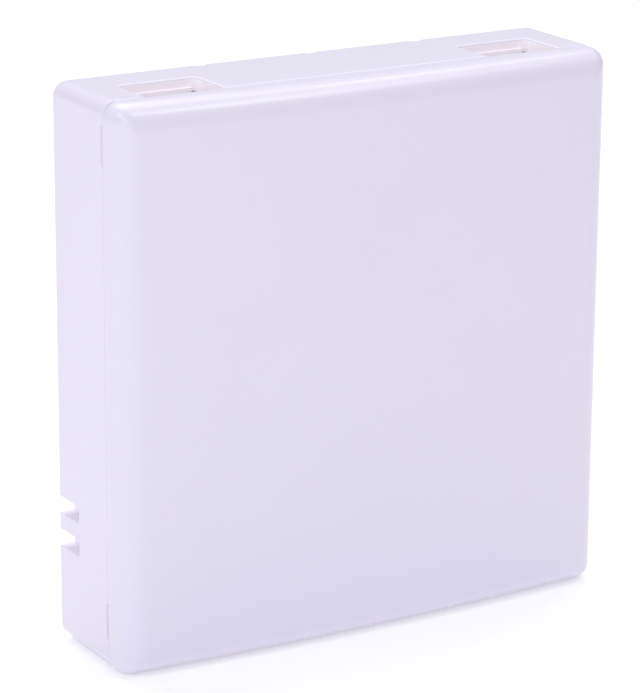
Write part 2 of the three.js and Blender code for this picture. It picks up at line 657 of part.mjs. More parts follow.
// Points of a turn about a spool, at one height above the tray, from one angle in degrees to another.
function turn(x, z, radius, y, from, to, count) {
  return Array.from({ length: count + 1 }, (_, i) => {
    const angle = THREE.MathUtils.degToRad(from + ((to - from) * i) / count);
    return [x + radius * Math.cos(angle), y, z + radius * Math.sin(angle)];
  });
}

// Each way round is written for the left port. The right port's fibre runs the mirrored way.
const BOOT_TIP_Z = ADAPTER_Z - BOOT_END - GAP;
const LEVEL = { left: 0.3, right: 1.5 };
const LEAD_IN_START = [[-PORT_X, BOOT_TIP_Z], [-PORT_X, 36.5], [-33.2, 30]];
const LEAD_IN = [...LEAD_IN_START, [-30.2, 21.5], [-23.5, 13.2], [-13, 8.3]];

function entry(side, y) {
  return LEAD_IN.map(([x, z], i) => [-side * x, i < 2 ? ADAPTER_Y : y, z]);
}

// Two and a half turns round both spools, each a little inside the last.
function windings(side, y) {
  const mirror = (points) => points.map(([x, height, z]) => [-side * x, height, z]);
  return mirror([
    ...turn(0, SPOOL_LOW_Z, 20, y, -90, 0, 3),
    ...turn(0, SPOOL_HIGH_Z, 19.3, y, 0, 180, 6),
    ...turn(0, SPOOL_LOW_Z, 18.4, y, 180, 360, 6),
    ...turn(0, SPOOL_HIGH_Z, 17.6, y, 0, 180, 6),
  ]);
}

function pigtail(name, side) {
  const y = LEVEL[name];
  const endings = {
    left: [
      ...turn(0, SPOOL_LOW_Z, 16.8, y, 180, 360, 6),
      [13.6, y, 46],
      ...turn(3.5, SPOOL_HIGH_Z + 5.3, 6.5, y, 0, 150, 5),
      [-SPLICE_X, ADAPTER_Y, SPOOL_HIGH_Z + 5.3],
    ],
    right: [
      [17, y, 44],
      ...turn(9.5, SPOOL_LOW_Z - 0.3, 6.5, y, 0, -150, 5),
      [SPLICE_X, ADAPTER_Y, SPOOL_LOW_Z - 0.3],
    ],
  };
  const points = [...entry(side, y), ...windings(side, y), ...endings[name]];
  const path = new Route(points.map((p) => new THREE.Vector3(...p)), false, "centripetal");
  const section = new THREE.Shape().absarc(0, 0, FIBRE_RADIUS, 0, Math.PI * 2);
  const steps = 2 * (points.length - 1);
  const geometry = new THREE.ExtrudeGeometry(section, { steps, curveSegments: 8, extrudePath: path });
  return piece(`pigtail_${name}`, solid(geometry), MATERIALS.fibre);
}

// ---------- Assembly ----------

const box = new THREE.Group();
box.add(baseShell(), frontCover(), spliceTray(), ...spliceSleeves(), ...trayScrews());
for (const [name, side] of Object.entries(SIDES)) {
  box.add(port(name, side), cableClamp(name, side), pigtail(name, side));
}

export default box;
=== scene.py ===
import math

import bmesh
import bpy
from mathutils import Matrix, Vector


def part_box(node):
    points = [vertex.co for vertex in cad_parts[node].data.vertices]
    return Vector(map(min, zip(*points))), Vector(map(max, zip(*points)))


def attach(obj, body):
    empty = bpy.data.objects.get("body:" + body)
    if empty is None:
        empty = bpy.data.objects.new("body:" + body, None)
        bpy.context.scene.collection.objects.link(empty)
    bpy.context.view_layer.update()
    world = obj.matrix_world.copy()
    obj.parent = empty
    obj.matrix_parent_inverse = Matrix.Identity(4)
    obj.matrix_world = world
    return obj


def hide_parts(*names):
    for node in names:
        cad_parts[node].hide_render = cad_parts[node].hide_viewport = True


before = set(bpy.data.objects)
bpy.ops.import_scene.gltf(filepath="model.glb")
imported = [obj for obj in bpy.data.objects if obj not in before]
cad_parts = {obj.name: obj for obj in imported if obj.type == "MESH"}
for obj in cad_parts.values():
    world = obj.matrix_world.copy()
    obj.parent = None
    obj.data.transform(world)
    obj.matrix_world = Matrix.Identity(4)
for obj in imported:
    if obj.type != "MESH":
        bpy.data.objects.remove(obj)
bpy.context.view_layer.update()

MM = 0.001
SIDES = {"left": -1, "right": 1}


def node_box(name):
    """A CAD node's box at rest, in millimetres."""
    low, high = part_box(name)
    return low / MM, high / MM


# ---------- Sizes, from the frame ----------

COVER_LOW, COVER_HIGH = node_box("front_cover")
BASE_LOW, BASE_HIGH = node_box("base_shell")
GAP = 0.3

FRONT_Y = COVER_LOW.y
BACK_Y = BASE_HIGH.y
COVER_MID_Z = (COVER_LOW.z + COVER_HIGH.z) / 2
MID_Z = (BASE_LOW.z + BASE_HIGH.z) / 2
COVER_HALF_WIDTH = COVER_HIGH.x
COVER_HALF_HEIGHT = COVER_HIGH.z - COVER_MID_Z
BASE_HALF_WIDTH = BASE_HIGH.x
BASE_HALF_HEIGHT = BASE_HIGH.z - MID_Z
TOP_Z = BASE_HIGH.z

CROWN = 1.85
COVER_SKIRT = 5.7
SEAM_Y = FRONT_Y + CROWN + COVER_SKIRT
SEAM_GAP = 0.2
COVER_FILLET = 4.65
COVER_CORNER = 3.2
FACE_CORNER = 1.6
COVER_WALL = 1.5
BASE_CORNER = 2.5
BASE_WALL = 2.45
BACK_WALL = 2.2
FLOOR_Y = BACK_Y - BACK_WALL
FITTING_ROOT_Y = FLOOR_Y + 0.5
INNER_HALF_WIDTH = BASE_HALF_WIDTH - BASE_WALL
INNER_HALF_HEIGHT = BASE_HALF_HEIGHT - BASE_WALL
LIP_HEIGHT = 1.6
LIP_THICKNESS = 0.65

PORT_X = 34.2
PORT_WIDTH = 14.9
PORT_DEPTH = 10.1
PORT_CORNER = 1.1
RIM_ROUND = 0.5
SILL_DROP = 1.75
SILL_HEIGHT = 1.45
SILL_REACH = 0.3
SILL_SHORT = 0.8
ADAPTER_Y = -0.3
ADAPTER_Z = 83.5
ADAPTER_HALF_WIDTH = 6.4
ADAPTER_HALF_DEPTH = 4.65
ADAPTER_END = 13.5
ENTRY_Z = (19.4, 25.5)
ENTRY_HEIGHT = 3.1
ENTRY_DEPTH = 7.3
SLOT_Z = (9.1, 93.4)
SLOT_LENGTH = 6.8
SLOT_WIDTH = 1
SLOT_DEPTH = 1.6
NICK_X = (-21.2, 1, 23.2)
FIXING_X = 30
CLAMP_X = 36
CLAMP_SCREW_Z = {"lower": 13.4, "upper": 30.9}
TRAY_SCREW_Z = {"lower": 19, "upper": 87}

# ---------- Solids ----------

SHARP_ANGLE = 35


def linked(mesh):
    thing = bpy.data.objects.new("solid", mesh)
    bpy.context.scene.collection.objects.link(thing)
    return thing


def solid(builder):
    """The bmesh as a new object, its faces turned outwards."""
    bmesh.ops.recalc_face_normals(builder, faces=builder.faces)
    mesh = bpy.data.meshes.new("solid")
    builder.to_mesh(mesh)
    builder.free()
    return linked(mesh)


def baked(thing):
    """The object with its modifiers applied."""
    depsgraph = bpy.context.evaluated_depsgraph_get()
    mesh = bpy.data.meshes.new_from_object(thing.evaluated_get(depsgraph))
    bpy.data.objects.remove(thing)
    return linked(mesh)


def combined(body, tools, operation):
    """The body joined to or cut by the tools, which are used up."""
    group = bpy.data.collections.new("tools")
    for tool in tools:
        group.objects.link(tool)
    step = body.modifiers.new("combine", "BOOLEAN")
    step.operation = operation
    step.operand_type = "COLLECTION"
    step.collection = group
    step.solver = "EXACT"
    result = baked(body)
    for tool in tools:
        bpy.data.objects.remove(tool)
    bpy.data.collections.remove(group)
    return result


def join(body, *others):
    return combined(body, others, "UNION")


def cut(body, *tools):
    return combined(body, tools, "DIFFERENCE")


def bevelled(thing, width):
    """The object with its sharp edges rounded."""
    step = thing.modifiers.new("bevel", "BEVEL")
    step.width = width
    step.segments = 2
    step.limit_method = "ANGLE"
    step.angle_limit = math.radians(SHARP_ANGLE)
    step.use_clamp_overlap = True
    return baked(thing)


def block(x0, x1, y0, y1, z0, z1):
    builder = bmesh.new()
    bmesh.ops.create_cube(builder, size=1)
    size = Matrix.Diagonal((abs(x1 - x0), abs(y1 - y0), abs(z1 - z0), 1))
    centre = Matrix.Translation(((x0 + x1) / 2, (y0 + y1) / 2, (z0 + z1) / 2))
    bmesh.ops.transform(builder, matrix=centre @ size, verts=builder.verts)
    return solid(builder)


def lathe(axis, profile, place, segments=40):
    """A closed profile of (radius, distance along the axis), turned about an axis through place."""
    builder = bmesh.new()
    rings = []
    for i in range(segments):
        angle = 2 * math.pi * i / segments
        ring = []
        for radius, along in profile:
            a, b = radius * math.cos(angle), radius * math.sin(angle)
            point = {"x": (along, a, b), "y": (a, along, b), "z": (a, b, along)}[axis]
            ring.append(builder.verts.new(Vector(point) + Vector(place)))
        rings.append(ring)
    for i, ring in enumerate(rings):
        after = rings[(i + 1) % segments]
        for j in range(len(profile)):
            k = (j + 1) % len(profile)
            if profile[j][0] == 0 and profile[k][0] == 0:
                continue
            builder.faces.new((ring[j], ring[k], after[k], after[j]))
    bmesh.ops.remove_doubles(builder, verts=builder.verts, dist=1e-5)
    return solid(builder)


def rod(axis, radius, start, end, centre, segments=32):
    """A cylinder between two values on an axis, centred on the other two coordinates in their order."""
    a, b = centre
    place = {"x": (0, a, b), "y": (a, 0, b), "z": (a, b, 0)}[axis]
    return lathe(axis, [(0, start), (radius, start), (radius, end), (0, end)], place, segments)


def plate(outline, y0, y1):
    """A closed outline in x and z, as thick as from y0 to y1."""
    builder = bmesh.new()
    front = [builder.verts.new((x, y0, z)) for x, z in outline]
    back = [builder.verts.new((x, y1, z)) for x, z in outline]
    builder.faces.new(front)
    builder.faces.new(list(reversed(back)))
    count = len(outline)
    for i in range(count):
        j = (i + 1) % count
        builder.faces.new((front[i], back[i], back[j], front[j]))
    return solid(builder)


def arc(x, z, radius, start, end, steps):
    """Points on an arc, its angles in degrees."""
    angles = [math.radians(start + (end - start) * i / steps) for i in range(steps + 1)]
    return [(x + radius * math.cos(t), z + radius * math.sin(t)) for t in angles]


def rounded_rectangle(half_width, half_height, radius, x=0, z=MID_Z):
    """The outline of a rounded rectangle centred on x and z."""
    dx, dz = half_width - radius, half_height - radius
    corners = [(dx, -dz, -90), (dx, dz, 0), (-dx, dz, 90), (-dx, -dz, 180)]
    points = []
    for cx, cz, start in corners:
        points += arc(x + cx, z + cz, radius, start, start + 90, 10)
    return points


def rounded_outline(corners, radius):
    """A closed outline with each corner rounded by a curve that starts that far from it."""
    steps = 8
    points = []
    for i, corner in enumerate(corners):
        here = Vector(corner)
        before = here + (Vector(corners[i - 1]) - here).normalized() * radius
        after = here + (Vector(corners[(i + 1) % len(corners)]) - here).normalized() * radius
        for step in range(steps + 1):
            t = step / steps
            point = before * (1 - t) ** 2 + here * 2 * t * (1 - t) + after * t ** 2
            points.append(tuple(point))
    return points


# ---------- Materials ----------


def shader(name, colour, roughness, metallic=0.0):
    material = bpy.data.materials.new(name)
    material.use_nodes = True
    surface = material.node_tree.nodes["Principled BSDF"]
    surface.inputs["Base Color"].default_value = (*colour, 1)
    surface.inputs["Roughness"].default_value = roughness
    surface.inputs["Metallic"].default_value = metallic
    return material, material.node_tree, surface


def noise_node(tree, scale, detail=2.0, stretch=None):
    """A noise texture in the piece's own space, its scale in features per metre."""
    place = tree.nodes.new("ShaderNodeTexCoord")
    texture = tree.nodes.new("ShaderNodeTexNoise")
    texture.inputs["Scale"].default_value = scale
    texture.inputs["Detail"].default_value = detail
    source = place.outputs["Object"]
    if stretch:
        mapping = tree.nodes.new("ShaderNodeMapping")
        mapping.inputs["Scale"].default_value = stretch
        tree.links.new(source, mapping.inputs["Vector"])
        source = mapping.outputs["Vector"]
    tree.links.new(source, texture.inputs["Vector"])
    return texture.outputs["Fac"]


def ramp(tree, source, stops):
    """A colour ramp over a texture: stops are (place, colour or grey)."""
    node = tree.nodes.new("ShaderNodeValToRGB")
    while len(node.color_ramp.elements) < len(stops):
        node.color_ramp.elements.new(0.5)
    for element, (place, value) in zip(node.color_ramp.elements, stops):
        element.position = place
        element.color = (*value, 1) if isinstance(value, tuple) else (value, value, value, 1)
    tree.links.new(source, node.inputs["Fac"])
    return node.outputs["Color"]


def bump(tree, surface, source, strength, distance):
    node = tree.nodes.new("ShaderNodeBump")
    node.inputs["Strength"].default_value = strength
    node.inputs["Distance"].default_value = distance
    tree.links.new(source, node.inputs["Height"])
    tree.links.new(node.outputs["Normal"], surface.inputs["Normal"])


FLOW_MARKS = 38
GLOSS_PATCHES = 60
MOULD_GRAIN_HEIGHT = 0.00004


def moulded(name, colour, roughness, spread=0.04, grain=2600, depth=0.3, painted_glow=0.0):
    """Injection-moulded plastic: a fine spark-eroded grain, slight flow marks and uneven gloss.

    The spread is how far the roughness varies, the grain its features per metre, the depth its strength, and
    the painted glow an emission in the plastic's own colour: painted light that stands in for the light that
    has come through thin white walls."""
    material, tree, surface = shader(name, colour, roughness)
    darker = tuple(c * 0.985 for c in colour)
    flow = noise_node(tree, FLOW_MARKS, 2)
    tree.links.new(ramp(tree, flow, [(0.25, darker), (0.75, colour)]), surface.inputs["Base Color"])
    patches = noise_node(tree, GLOSS_PATCHES, 1)
    gloss = ramp(tree, patches, [(0.2, roughness - spread), (0.8, roughness + spread)])
    tree.links.new(gloss, surface.inputs["Roughness"])
    bump(tree, surface, noise_node(tree, grain, 3), depth, MOULD_GRAIN_HEIGHT)
    # Painted light: the glow is an emission in the plastic's own colour that paints in light come through
    # thin walls.
    surface.inputs["Emission Color"].default_value = (*colour, 1)
    surface.inputs["Emission Strength"].default_value = painted_glow
    return material


def plated_steel():
    """Zinc plating: a faintly mottled tone and gloss that is streaked along z."""
    material, tree, surface = shader("zinc_plated_steel", (0.62, 0.63, 0.66), 0.36, 1.0)
    tone = ramp(tree, noise_node(tree, 900, 4), [(0.3, (0.58, 0.59, 0.62)), (0.7, (0.68, 0.69, 0.7))])
    tree.links.new(tone, surface.inputs["Base Color"])
    gloss = ramp(tree, noise_node(tree, 500, 3, (1, 1, 12)), [(0.3, 0.3), (0.7, 0.42)])
    tree.links.new(gloss, surface.inputs["Roughness"])
    bump(tree, surface, noise_node(tree, 4000, 2), 0.15, 0.00002)
    return material


def shrink_tube():
    """Clear heat-shrink tube with slight waves across it."""
    material, tree, surface = shader("clear_shrink_tube", (0.82, 0.9, 0.95), 0.12)
    surface.inputs["Transmission Weight"].default_value = 0.75
    surface.inputs["IOR"].default_value = 1.45
    bump(tree, surface, noise_node(tree, 700, 2, (1, 1, 0.3)), 0.3, 0.00006)
    return material


SHELL_COLOUR = (0.79, 0.755, 0.91)
SHELL_GRAIN = {"grain": 120, "depth": 0.1}
MATERIALS = {
    "shell": moulded("white_abs", SHELL_COLOUR, 0.25, 0.02, **SHELL_GRAIN),
    "tray": moulded("tray_plastic", (0.83, 0.83, 0.82), 0.42),
    "adapter": moulded("green_plastic", (0.03, 0.3, 0.09), 0.38),
    "insert": moulded("ivory_plastic", (0.72, 0.69, 0.58), 0.45),
    "ceramic": moulded("zirconia", (0.86, 0.84, 0.78), 0.16, 0.02, 5000, 0.05),
    "boot": moulded("green_rubber", (0.025, 0.24, 0.08), 0.6, 0.06, 1800, 0.5),
    "fibre": moulded("fibre_jacket", (0.8, 0.78, 0.66), 0.5, 0.05, 3000, 0.2),
    "sleeve": shrink_tube(),
    "steel": plated_steel(),
}

# The base's material slots after its first: the window walls, side opening walls and window rims. Light
# shines through the plastic there; these copies of the shell's material paint it in as a glow of emission,
# and the window and opening walls' warmer colours are painted light too.
OPENING_PAINTED_LIGHT_MATERIALS = [
    moulded("white_abs_window_painted_light", (0.83, 0.75, 0.85), 0.45, painted_glow=0.35, **SHELL_GRAIN),
    moulded("white_abs_opening_painted_light", (0.785, 0.75, 0.86), 0.34, painted_glow=0.21, **SHELL_GRAIN),
    moulded("white_abs_rim_painted_light", SHELL_COLOUR, 0.5, painted_glow=0.06, **SHELL_GRAIN),
]
SHELL_SLOT, WINDOW_SLOT, OPENING_SLOT, RIM_SLOT = range(4)
FACE_MARGIN = 0.1


def in_window(x, y, z):
    """Whether a point is on a window's walls or rim."""
    beside = abs(abs(x) - PORT_X) < PORT_WIDTH / 2 + RIM_ROUND
    return beside and y < SEAM_Y + PORT_DEPTH + RIM_ROUND and TOP_Z - BASE_WALL - FACE_MARGIN < z


def in_side_opening(x, y, z):
    """Whether a point is on the walls of a cable entry or a pry slot."""
    through_wall = INNER_HALF_WIDTH - 0.4 < abs(x) < BASE_HALF_WIDTH - FACE_MARGIN
    entry_near = min(abs(z - e) for e in ENTRY_Z) < (ENTRY_HEIGHT + FACE_MARGIN) / 2
    slot_near = min(abs(z - e) for e in SLOT_Z) < (SLOT_LENGTH + FACE_MARGIN) / 2
    in_entry = entry_near and y > BACK_Y - ENTRY_DEPTH - FACE_MARGIN
    in_slot = slot_near and SEAM_Y < y < SEAM_Y + SLOT_WIDTH + FACE_MARGIN
    return through_wall and (in_entry or in_slot)


def opening_slot(point):
    """The material slot of a face of the base, from its middle."""
    if in_window(*point) and point.z < TOP_Z - RIM_ROUND * 0.7:
        return WINDOW_SLOT
    if in_window(*point) and point.z < TOP_Z - 0.01:
        return RIM_SLOT
    return OPENING_SLOT if in_side_opening(*point) else SHELL_SLOT


# Paints light on the openings: gives the window walls, window rims and side opening walls the glowing,
# tinted materials that stand in for light through the thin plastic.
def paint_light_on_openings(thing):
    for material in OPENING_PAINTED_LIGHT_MATERIALS:
        thing.data.materials.append(material)
    for face in thing.data.polygons:
        face.material_index = opening_slot(face.center / MM)


def place(thing, name, slot, body, *nodes, smooth=SHARP_ANGLE):
    """Scales a finished solid to metres, shades it, gives it its finish and puts it on its body."""
    thing.name = name
    thing.data.name = name
    thing.data.transform(Matrix.Scale(MM, 4))
    thing.data.shade_smooth()
    thing.data.set_sharp_from_angle(angle=math.radians(smooth))
    weights = thing.modifiers.new("normals", "WEIGHTED_NORMAL")
    weights.keep_sharp = True
    weights.weight = 100
    thing.data.materials.clear()
    thing.data.materials.append(MATERIALS[slot])
    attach(thing, body)
    if nodes:
        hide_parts(*nodes)


# ---------- Front cover ----------


def crown_drop(x):
    """How far the cover's front lies behind its middle."""
    return CROWN * (x / COVER_HALF_WIDTH) ** 2


def cover_ring(inset, y, crowned=0):
    """One ring of the cover's surface, the lower half the upper half's mirror image."""
    edge_steps = 24
    radius = max(COVER_CORNER - inset, FACE_CORNER)
    half_width = COVER_HALF_WIDTH - inset
    half_height = COVER_HALF_HEIGHT - inset
    straight = half_width - radius
    corner = arc(-straight, half_height - radius, radius, 180, 90, 12)
    edge = [(-straight + 2 * straight * i / edge_steps, half_height) for i in range(1, edge_steps)]
    upper = corner + edge + [(-x, z) for x, z in reversed(corner)]
    lower = [(x, -z) for x, z in reversed(upper)]
    return [(x, y + crowned * crown_drop(x), z + COVER_MID_Z) for x, z in upper + lower]


def loft(rings, strips=False):
    """A closed skin over rings of equal size, its ends closed by one face each or by strips across."""
    builder = bmesh.new()
    skin = [[builder.verts.new(p) for p in ring] for ring in rings]
    size = len(rings[0])
    for ring, after in zip(skin, skin[1:]):
        for i in range(size):
            j = (i + 1) % size
            builder.faces.new((ring[i], ring[j], after[j], after[i]))
    for ring in (skin[0], skin[-1]):
        if not strips:
            builder.faces.new(ring)
            continue
        for i in range(size // 2 - 1):
            builder.faces.new((ring[i], ring[i + 1], ring[size - 2 - i], ring[size - 1 - i]))
    return solid(builder)


def quarter(steps):
    """Sine and cosine of each step of a quarter turn, from 0 to 90 degrees."""
    return [(math.sin(t), math.cos(t)) for t in (math.pi / 2 * i / steps for i in range(steps + 1))]


SEAM_ROUND = 0.5
INNER_ROUND = 0.2


def cover_shell():
    """The cover's skin: the front fillet, the seam's outer and inner edges, and the hollow."""
    rings = []
    for sine, cosine in reversed(quarter(14)):
        inset = COVER_FILLET * (1 - cosine)
        y = FRONT_Y + COVER_FILLET * (1 - sine)
        rings.append(cover_ring(inset, y, 1))
    for sine, cosine in quarter(5):
        inset = SEAM_ROUND * (1 - cosine)
        rings.append(cover_ring(inset, SEAM_Y - SEAM_ROUND * (1 - sine)))
    for sine, cosine in quarter(3):
        inset = COVER_WALL - INNER_ROUND * (1 - sine)
        rings.append(cover_ring(inset, SEAM_Y - INNER_ROUND * (1 - cosine)))
    inner = COVER_FILLET - COVER_WALL
    for sine, cosine in quarter(6):
        inset = COVER_WALL + inner * (1 - cosine)
        y = FRONT_Y + COVER_WALL + inner * (1 - sine)
        rings.append(cover_ring(inset, y, 1))
    return loft(rings, strips=True)


def adapter_rib(port_x):
    """A rib in the cover that holds an adapter down."""
    root, end = FRONT_Y + 1.8, ADAPTER_Y - ADAPTER_HALF_DEPTH - GAP
    return bevelled(block(port_x - 4, port_x + 4, root, end, ADAPTER_Z - 0.9, ADAPTER_Z + 0.9), 0.25)


def tongue(side, z):
    """A barbed tongue in the cover that clips behind the base's catch."""
    outer, inner = 46.6, 45.4
    root, end = FRONT_Y + CROWN + 0.8, -1.5
    z0, z1 = z - SLOT_LENGTH / 2, z + SLOT_LENGTH / 2
    blade = block(side * inner, side * outer, root, end, z0, z1)
    barb = block(side * (inner + 0.6), side * (outer + 0.3), end - 1.9, end - 1.2, z0, z1)
    return bevelled(join(blade, barb), 0.12)


def front_cover():
    parts = []
    for side in SIDES.values():
        parts.append(adapter_rib(side * PORT_X))
        parts += [tongue(side, z) for z in SLOT_Z]
    place(join(cover_shell(), *parts), "cover_moulding", "shell", "cover", "front_cover")


# ---------- Base ----------

INNER_CORNER = BASE_CORNER - 0.2


def base_ring(inset, y):
    outline = rounded_rectangle(BASE_HALF_WIDTH - inset, BASE_HALF_HEIGHT - inset, BASE_CORNER - inset)
    return [(x, y, z) for x, z in outline]


def base_tub():
    """The open tub with the thin lip that the cover fits over."""
    rear = 0.15
    front_y = SEAM_Y + SEAM_GAP
    rings = [base_ring(SEAM_ROUND * (1 - s), front_y + SEAM_ROUND * (1 - c)) for s, c in quarter(5)]
    rings += [base_ring(rear * (1 - c), BACK_Y - rear * (1 - s)) for s, c in quarter(3)]
    half_width, half_height = INNER_HALF_WIDTH + LIP_THICKNESS, INNER_HALF_HEIGHT + LIP_THICKNESS
    lip_front = SEAM_Y - LIP_HEIGHT
    lip = plate(rounded_rectangle(half_width, half_height, INNER_CORNER + LIP_THICKNESS), lip_front, 0)
    inside = rounded_rectangle(INNER_HALF_WIDTH, INNER_HALF_HEIGHT, INNER_CORNER)
    return cut(join(loft(rings), lip), plate(inside, lip_front - 1, FLOOR_Y))


def window_ring(side, flare, z):
    """A port's outline, widened by the flare: square to the cover, with rounded corners at the rear."""
    x, half, rear = side * PORT_X, PORT_WIDTH / 2 + flare, SEAM_Y + PORT_DEPTH + flare
    radius = PORT_CORNER + flare
    outline = [(x - half, SEAM_Y - 3), (x + half, SEAM_Y - 3)]
    outline += arc(x + half - radius, rear - radius, radius, 0, 90, 8)
    outline += arc(x - half + radius, rear - radius, radius, 90, 180, 8)
    return [(a, b, z) for a, b in outline]


def window(side):
    """The cutter for one port; it widens at the top, so that the rim is rounded."""
    levels = [(0, TOP_Z - BASE_WALL - 2)]
    levels += [(RIM_ROUND * (1 - c), TOP_Z - RIM_ROUND * (1 - s)) for s, c in quarter(5)]
    levels.append((RIM_ROUND, TOP_Z + 1))
    return loft([window_ring(side, flare, z) for flare, z in levels])


def large_cutters():
    """The base's port windows, cable entries, wall fixings and rear entry."""
    cutters = [plate(rounded_rectangle(11, 6, 3), FLOOR_Y - 1, BACK_Y + 1)]
    for side in SIDES.values():
        cutters.append(window(side))
        cutters.append(plate(rounded_rectangle(4, 2.3, 2.29, side * FIXING_X), FLOOR_Y - 1, BACK_Y + 1))
        for z in ENTRY_Z:
            x0, x1 = side * (INNER_HALF_WIDTH - 0.35), side * (BASE_HALF_WIDTH + 1)
            half = ENTRY_HEIGHT / 2
            cutters.append(block(x0, x1, BACK_Y - ENTRY_DEPTH, BACK_Y + 1, z - half, z + half))
    return cutters


def small_cutters():
    """The pry slots in the rim and the nicks in the rear top edge."""
    cutters = [block(x - 1.1, x + 1.1, BACK_Y - 0.8, BACK_Y + 1, TOP_Z - 0.4, TOP_Z + 1) for x in NICK_X]
    for side in SIDES.values():
        for z in SLOT_Z:
            x0, x1 = side * (BASE_HALF_WIDTH - SLOT_DEPTH), side * (BASE_HALF_WIDTH + 1)
            half = SLOT_LENGTH / 2
            cutters.append(block(x0, x1, SEAM_Y - 0.01, SEAM_Y + SLOT_WIDTH, z - half, z + half))
    return cutters


def cradle(port_x):
    """Four cheeks and two saddles that hold an adapter by its flange."""
    parts = []
    for side in SIDES.values():
        x0, x1 = port_x + side * 6.7, port_x + side * 8.2
        for end in (-1, 1):
            z0, z1 = ADAPTER_Z + end * 1.3, ADAPTER_Z + end * 5.5
            parts.append(bevelled(block(x0, x1, ADAPTER_Y - 3.6, FITTING_ROOT_Y, z0, z1), 0.2))
    for z in (ADAPTER_Z - 10.75, ADAPTER_Z + 10.25):
        y = ADAPTER_Y + ADAPTER_HALF_DEPTH + GAP
        saddle = block(port_x - 6, port_x + 6, y, FITTING_ROOT_Y, z - 0.75, z + 0.75)
        parts.append(bevelled(saddle, 0.2))
    return parts


def boss(x, z, front, radius):
    """A post for a screw, with its hole."""
    post = bevelled(rod("y", radius, front, FITTING_ROOT_Y, (x, z)), 0.2)
    return cut(post, rod("y", 1.25, front - 1, FLOOR_Y - 0.2, (x, z), 24))


def sill(port_x):
    """The ledge behind a window, which stops short of the window's right side."""
    x0, x1 = port_x - PORT_WIDTH / 2 - 0.5, port_x + PORT_WIDTH / 2 - SILL_SHORT
    y0, y1 = SEAM_Y + PORT_DEPTH - SILL_REACH, FITTING_ROOT_Y
    top = TOP_Z - SILL_DROP
    return bevelled(block(x0, x1, y0, y1, top - SILL_HEIGHT, top), 0.08)


def catch(side, z):
    """The ridge inside the wall that holds a tongue of the cover."""
    x0, x1 = side * (INNER_HALF_WIDTH - 0.3), side * (INNER_HALF_WIDTH + 0.5)
    half = SLOT_LENGTH / 2
    return block(x0, x1, SEAM_Y + 1.1, SEAM_Y + 1.7, z - half, z + half)


def base_shell():
    tub = cut(bevelled(cut(base_tub(), *large_cutters()), 0.2), *small_cutters())
    fittings = [boss(x, z, 7.4, 2.4) for x in (CLAMP_X, -CLAMP_X) for z in CLAMP_SCREW_Z.values()]
    fittings += [boss(0, z, 3.8, 3) for z in TRAY_SCREW_Z.values()]
    for side in SIDES.values():
        fittings += cradle(side * PORT_X)
        fittings.append(sill(side * PORT_X))
        fittings += [catch(side, z) for z in SLOT_Z]
    base = join(tub, *fittings)
    place(base, "base_moulding", "shell", "base", "base_shell")
    paint_light_on_openings(base)


# ---------- Splice tray ----------

TRAY_FRONT_Y = 2.2
TRAY_ROOT_Y = TRAY_FRONT_Y + 0.5
TRAY_BACK_Y = 3.7
TRAY_RIM_Y = -3.2
TRAY_RIM = 1.2
TRAY_BOTTOM_Z, TRAY_STEP_Z, TRAY_TOP_Z = 5, 38, 92
SPOOL_LOW_Z, SPOOL_HIGH_Z = 27, 62
SPLICE_X = 3


def tray_outline(inset):
    """The tray's stepped outline: wide below the adapters and narrow between them."""
    low, high = 44 - inset, 23.5 - inset
    bottom, step, top = TRAY_BOTTOM_Z + inset, TRAY_STEP_Z - inset, TRAY_TOP_Z - inset
    right = [(low, bottom), (low, step), (high, step), (high, top)]
    return rounded_outline(right + [(-x, z) for x, z in reversed(right)], 4 - inset)


def spool_wall(z, start, end):
    """Part of a round wall that the fibre is wound about, its angles in degrees."""
    outer, inner = 15.2, 14
    outline = arc(0, z, outer, start, end, 24) + arc(0, z, inner, end, start, 24)
    return plate(outline, TRAY_RIM_Y + 0.8, TRAY_ROOT_Y)


def comb(z):
    """A rack with two grooves that hold the splice sleeves."""
    rack = block(-6.2, 6.2, ADAPTER_Y - 2.2, TRAY_ROOT_Y, z - 2, z + 2)
    grooves = []
    for x in (-SPLICE_X, SPLICE_X):
        grooves.append(rod("z", 1.5, z - 3, z + 3, (x, ADAPTER_Y)))
        grooves.append(block(x - 1.2, x + 1.2, ADAPTER_Y - 4, ADAPTER_Y, z - 3, z + 3))
    return cut(rack, *grooves)


TRAY_TABS = [(-22.9, -16.5, 42, 47), (16.5, 22.9, 42, 47), (-2.5, 2.5, 5.6, 11.5)]
TRAY_TABS += [(-15, -10, 83, 91.4), (10, 15, 83, 91.4)]


def splice_tray():
    body = plate(tray_outline(0), TRAY_RIM_Y, TRAY_BACK_Y)
    mouths = [plate(tray_outline(TRAY_RIM), TRAY_RIM_Y - 1, TRAY_FRONT_Y)]
    for side in SIDES.values():
        x = side * PORT_X
        mouths.append(block(x - 3, x + 3, TRAY_RIM_Y - 1, TRAY_FRONT_Y, TRAY_STEP_Z - 3, TRAY_STEP_Z + 1))
    body = bevelled(cut(body, *mouths), 0.25)
    parts = []
    for x0, x1, z0, z1 in TRAY_TABS:
        parts.append(bevelled(block(x0, x1, TRAY_RIM_Y, TRAY_RIM_Y + 0.9, z0, z1), 0.2))
    parts.append(bevelled(spool_wall(SPOOL_HIGH_Z, 35, 145), 0.25))
    parts.append(bevelled(spool_wall(SPOOL_LOW_Z, 215, 325), 0.25))
    parts += [bevelled(comb(z), 0.15) for z in (36, 58)]
    body = join(body, *parts)
    holes = [rod("y", 1.5, TRAY_FRONT_Y - 1, TRAY_BACK_Y + 1, (0, z)) for z in TRAY_SCREW_Z.values()]
    place(cut(body, *holes), "tray_moulding", "tray", "base", "splice_tray")


